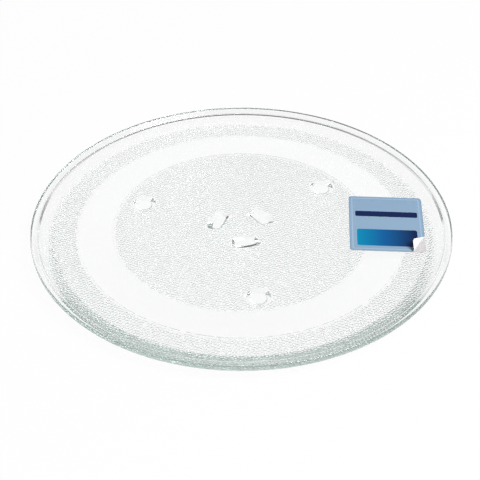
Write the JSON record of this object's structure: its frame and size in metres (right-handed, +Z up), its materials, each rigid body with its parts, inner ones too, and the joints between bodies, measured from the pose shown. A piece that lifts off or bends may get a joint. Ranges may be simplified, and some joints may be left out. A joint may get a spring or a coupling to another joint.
{
  "type": "microwave turntable plate",
  "caption": "Round pressed-glass turntable plate with a beaded rim, a smooth roller ring, drive lugs and feet on its underside, and a paper label on top.",
  "frame": {"origin": "on the plate's axis, level with the bottom of the feet", "axes": "+Z up out of the dish, -Y through one lug and one foot, +X to the right seen from -Y"},
  "size_m": [0.288, 0.288, 0.0174],
  "materials": {
    "glass": "clear pressed glass, smooth on top, pebbled underneath",
    "label_paper": "satin coated paper"
  },
  "bodies": {
    "root": {"glass_plate": "glass", "label": "label_paper"}
  },
  "joints": []
}
